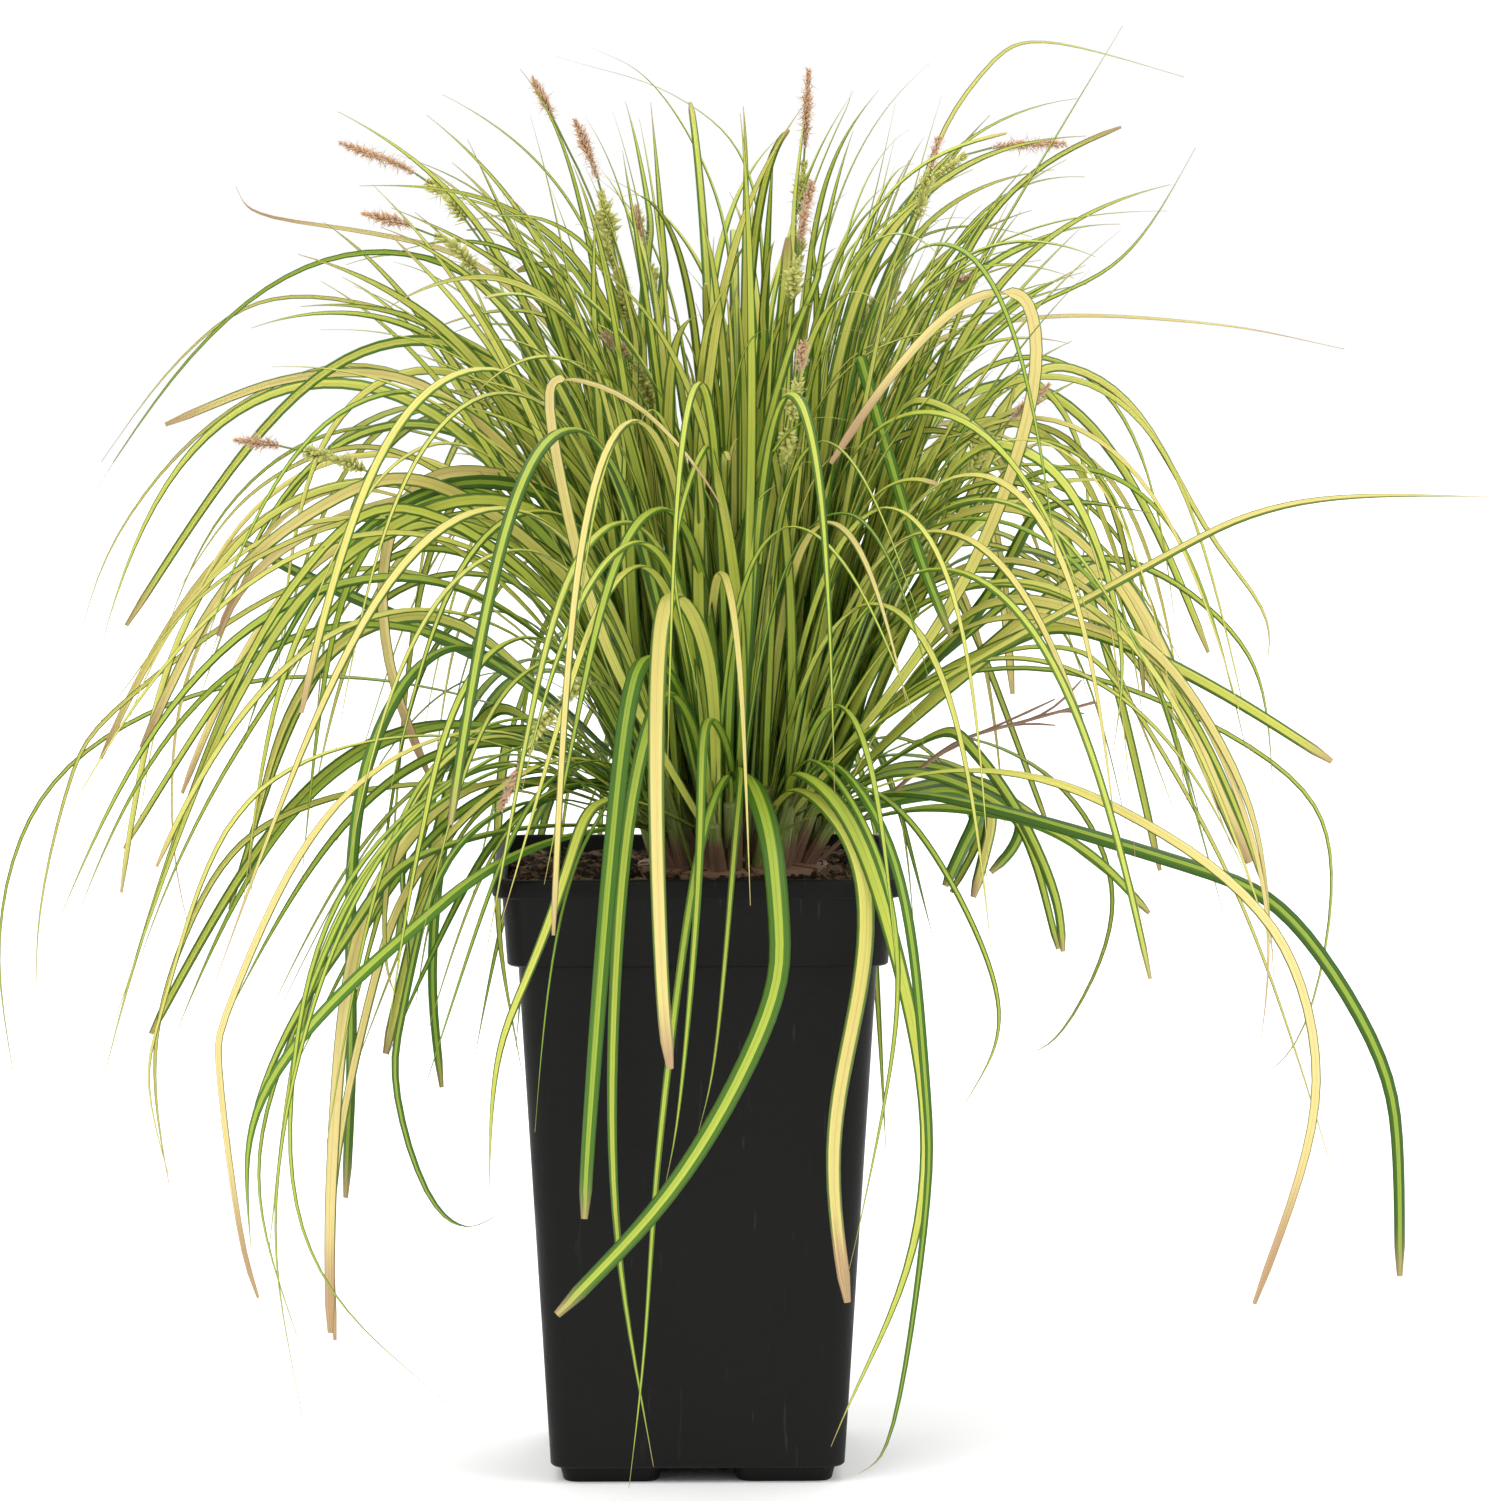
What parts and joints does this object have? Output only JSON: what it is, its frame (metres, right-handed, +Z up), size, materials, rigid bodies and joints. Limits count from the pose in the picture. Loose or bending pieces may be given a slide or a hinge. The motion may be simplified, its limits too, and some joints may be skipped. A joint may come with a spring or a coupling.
{
  "type": "carex sedge in a square nursery pot",
  "caption": "Variegated carex sedge in flower: arching striped leaves and small brown and green flower spikes, growing in a tall square black nursery pot.",
  "frame": {"origin": "on the floor under the middle of the pot, which is also the middle of the plant's spread", "axes": "+Z up, +X to the right and +Y to the back as in the reference view; the pot's sides are square to X and Y"},
  "size_m": [0.5613, 0.5156, 0.5434],
  "materials": {
    "pot_plastic": "near-black moulded plastic with a soft sheen, faint scuffs and dust",
    "soil": "moist dark brown peat with bark chips and fibres",
    "leaf": "smooth leaf with a yellow-green to cream centre stripe and dark green margins, some tips dry",
    "flower_stem": "green stem with bristly yellow-green spikes",
    "male_spike": "rust-brown dry fluffy spike",
    "dead_stem": "dry brown stem"
  },
  "bodies": {
    "root": {"dead_stem": "dead_stem", "flower_stem_01": "flower_stem", "flower_stem_02": "flower_stem", "flower_stem_03": "flower_stem", "flower_stem_04": "flower_stem", "flower_stem_05": "flower_stem", "flower_stem_06": "flower_stem", "flower_stem_07": "flower_stem", "flower_stem_08": "flower_stem", "flower_stem_09": "flower_stem", "flower_stem_10": "flower_stem", "flower_stem_11": "flower_stem", "flower_stem_12": "flower_stem", "flower_stem_13": "flower_stem", "flower_stem_14": "flower_stem", "flower_stem_15": "flower_stem", "flower_stem_16": "flower_stem", "flower_stem_17": "flower_stem", "male_spike_01": "male_spike", "male_spike_02": "male_spike", "male_spike_03": "male_spike", "male_spike_04": "male_spike", "male_spike_05": "male_spike", "male_spike_06": "male_spike", "male_spike_07": "male_spike", "male_spike_08": "male_spike", "male_spike_09": "male_spike", "male_spike_10": "male_spike", "male_spike_11": "male_spike", "male_spike_12": "male_spike", "male_spike_13": "male_spike", "male_spike_14": "male_spike", "male_spike_15": "male_spike", "male_spike_16": "male_spike", "male_spike_17": "male_spike", "pot": "pot_plastic", "soil": "soil", "tuft_back": "leaf", "tuft_back_left": "leaf", "tuft_back_right": "leaf", "tuft_front": "leaf", "tuft_front_left": "leaf", "tuft_front_right": "leaf", "tuft_left": "leaf", "tuft_right": "leaf"}
  },
  "joints": []
}
